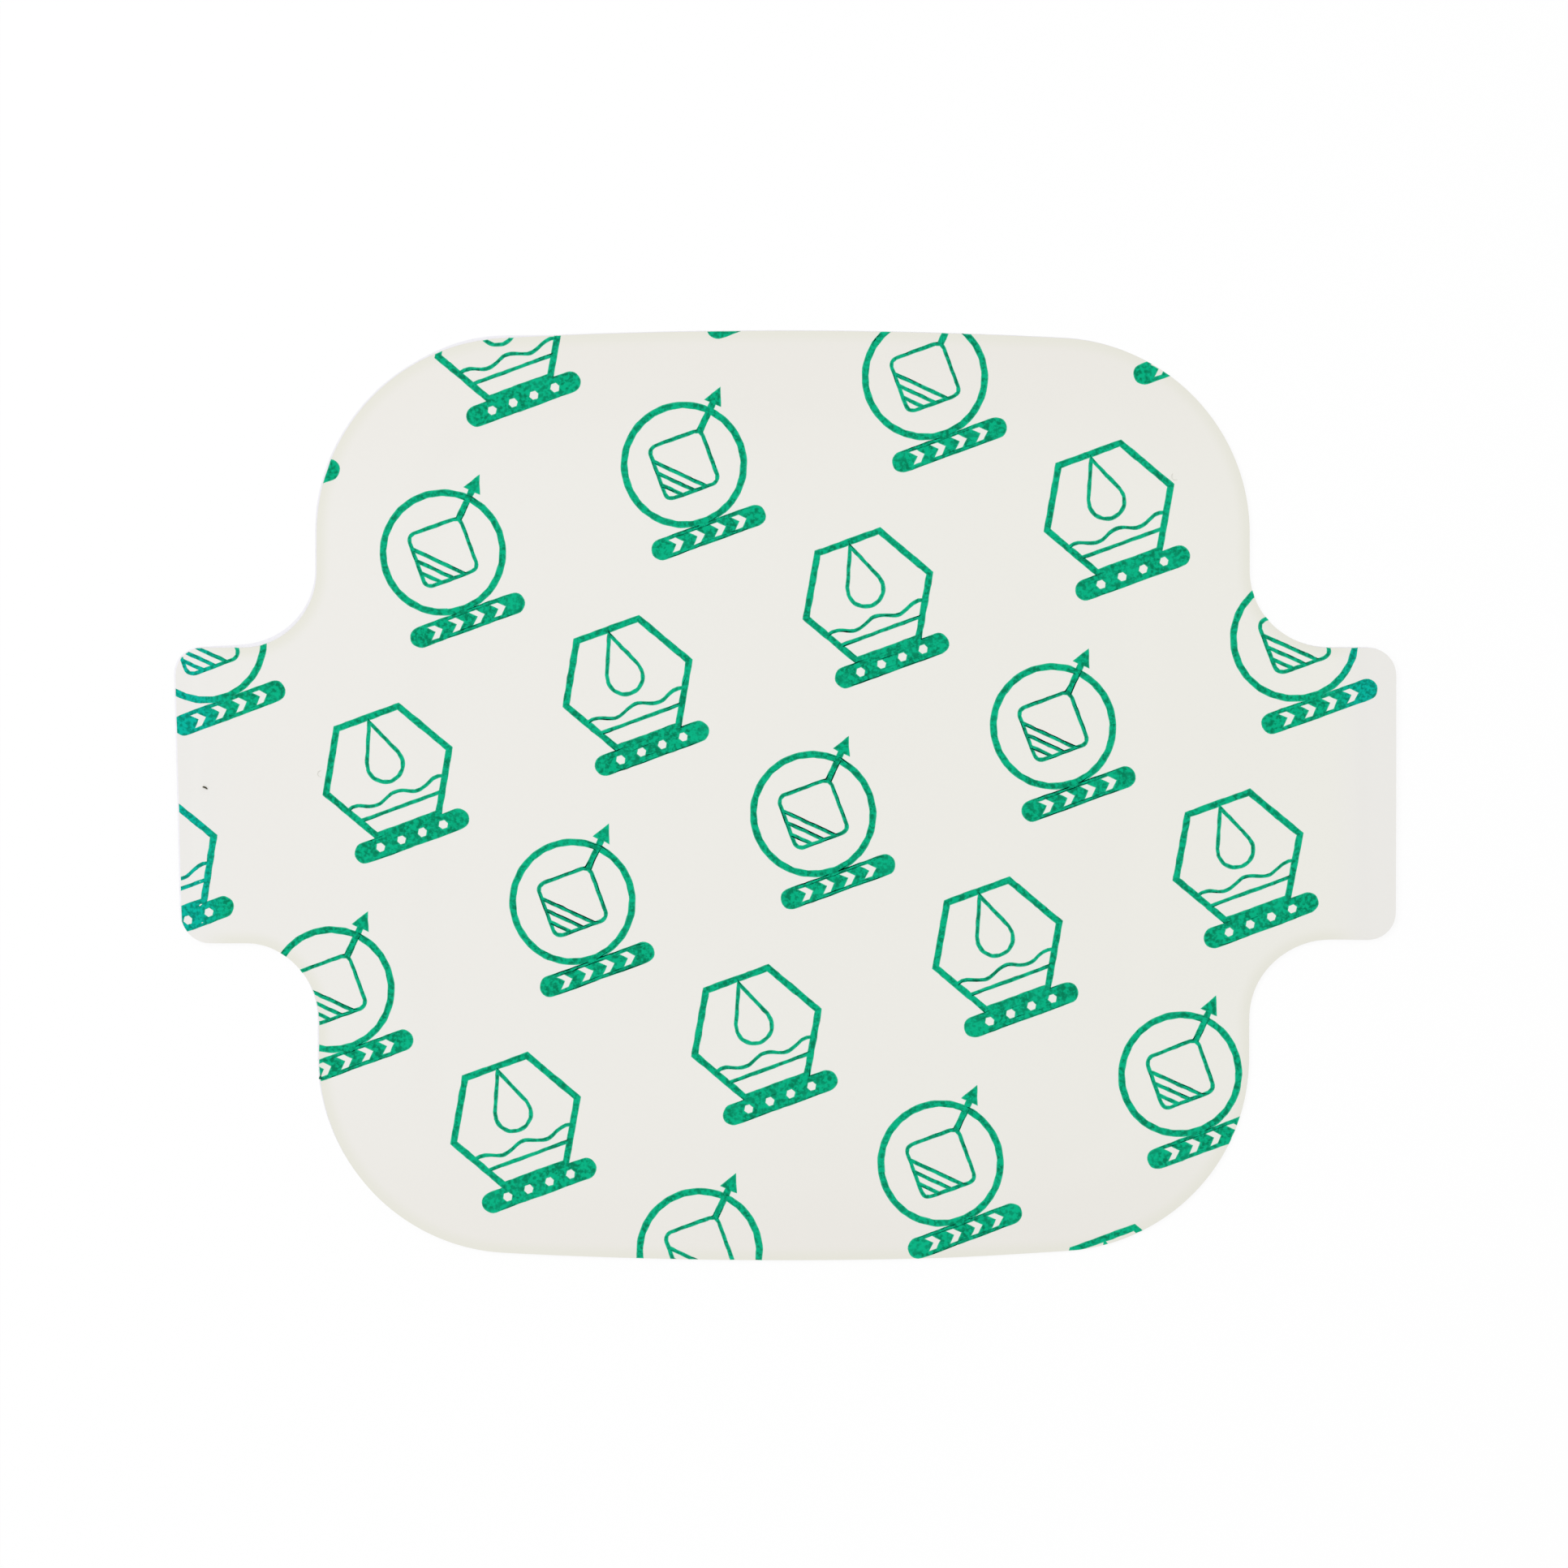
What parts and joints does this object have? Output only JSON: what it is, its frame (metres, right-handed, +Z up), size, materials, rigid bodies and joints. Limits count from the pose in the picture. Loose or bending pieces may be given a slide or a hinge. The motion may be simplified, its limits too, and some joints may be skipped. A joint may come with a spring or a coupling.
{
  "type": "film dressing",
  "caption": "Flat frame-style film dressing with rounded corners and a grip tab on each side, lying with its printed release liner up.",
  "frame": {"origin": "on the surface that the sheet lies on, under the middle of its outline", "axes": "+X from the left tab to the right tab, +Y to the top edge of the sheet, +Z up, out of the printed side of the liner"},
  "size_m": [0.1316, 0.1002, 0.0003],
  "materials": {
    "frame_paper": "matt white paper",
    "clear_film": "clear film with a soft gloss",
    "liner_paper": "cream paper with a satin release coat",
    "green_ink": "green printing ink"
  },
  "bodies": {
    "root": {"carrier_frame": "frame_paper", "dressing_film": "clear_film", "print_down1_left1": "green_ink", "print_down1_left2": "green_ink", "print_down1_mid": "green_ink", "print_down1_right1": "green_ink", "print_down2_left1": "green_ink", "print_down2_mid": "green_ink", "print_down2_right1": "green_ink", "print_down3_mid": "green_ink", "print_mid_left1": "green_ink", "print_mid_left2": "green_ink", "print_mid_mid": "green_ink", "print_mid_right1": "green_ink", "print_mid_right2": "green_ink", "print_mid_right2_b": "green_ink", "print_up1_left1": "green_ink", "print_up1_left2": "green_ink", "print_up1_left3": "green_ink", "print_up1_mid": "green_ink", "print_up1_right1": "green_ink", "print_up2_left1": "green_ink", "print_up2_left2": "green_ink", "print_up2_left2_b": "green_ink", "print_up2_mid": "green_ink", "print_up2_right1": "green_ink", "print_up2_right1_b": "green_ink", "print_up2_right2": "green_ink", "print_up3_left1": "green_ink", "print_up3_left1_b": "green_ink", "print_up3_left2": "green_ink", "print_up3_mid": "green_ink", "release_liner": "liner_paper"}
  },
  "joints": []
}
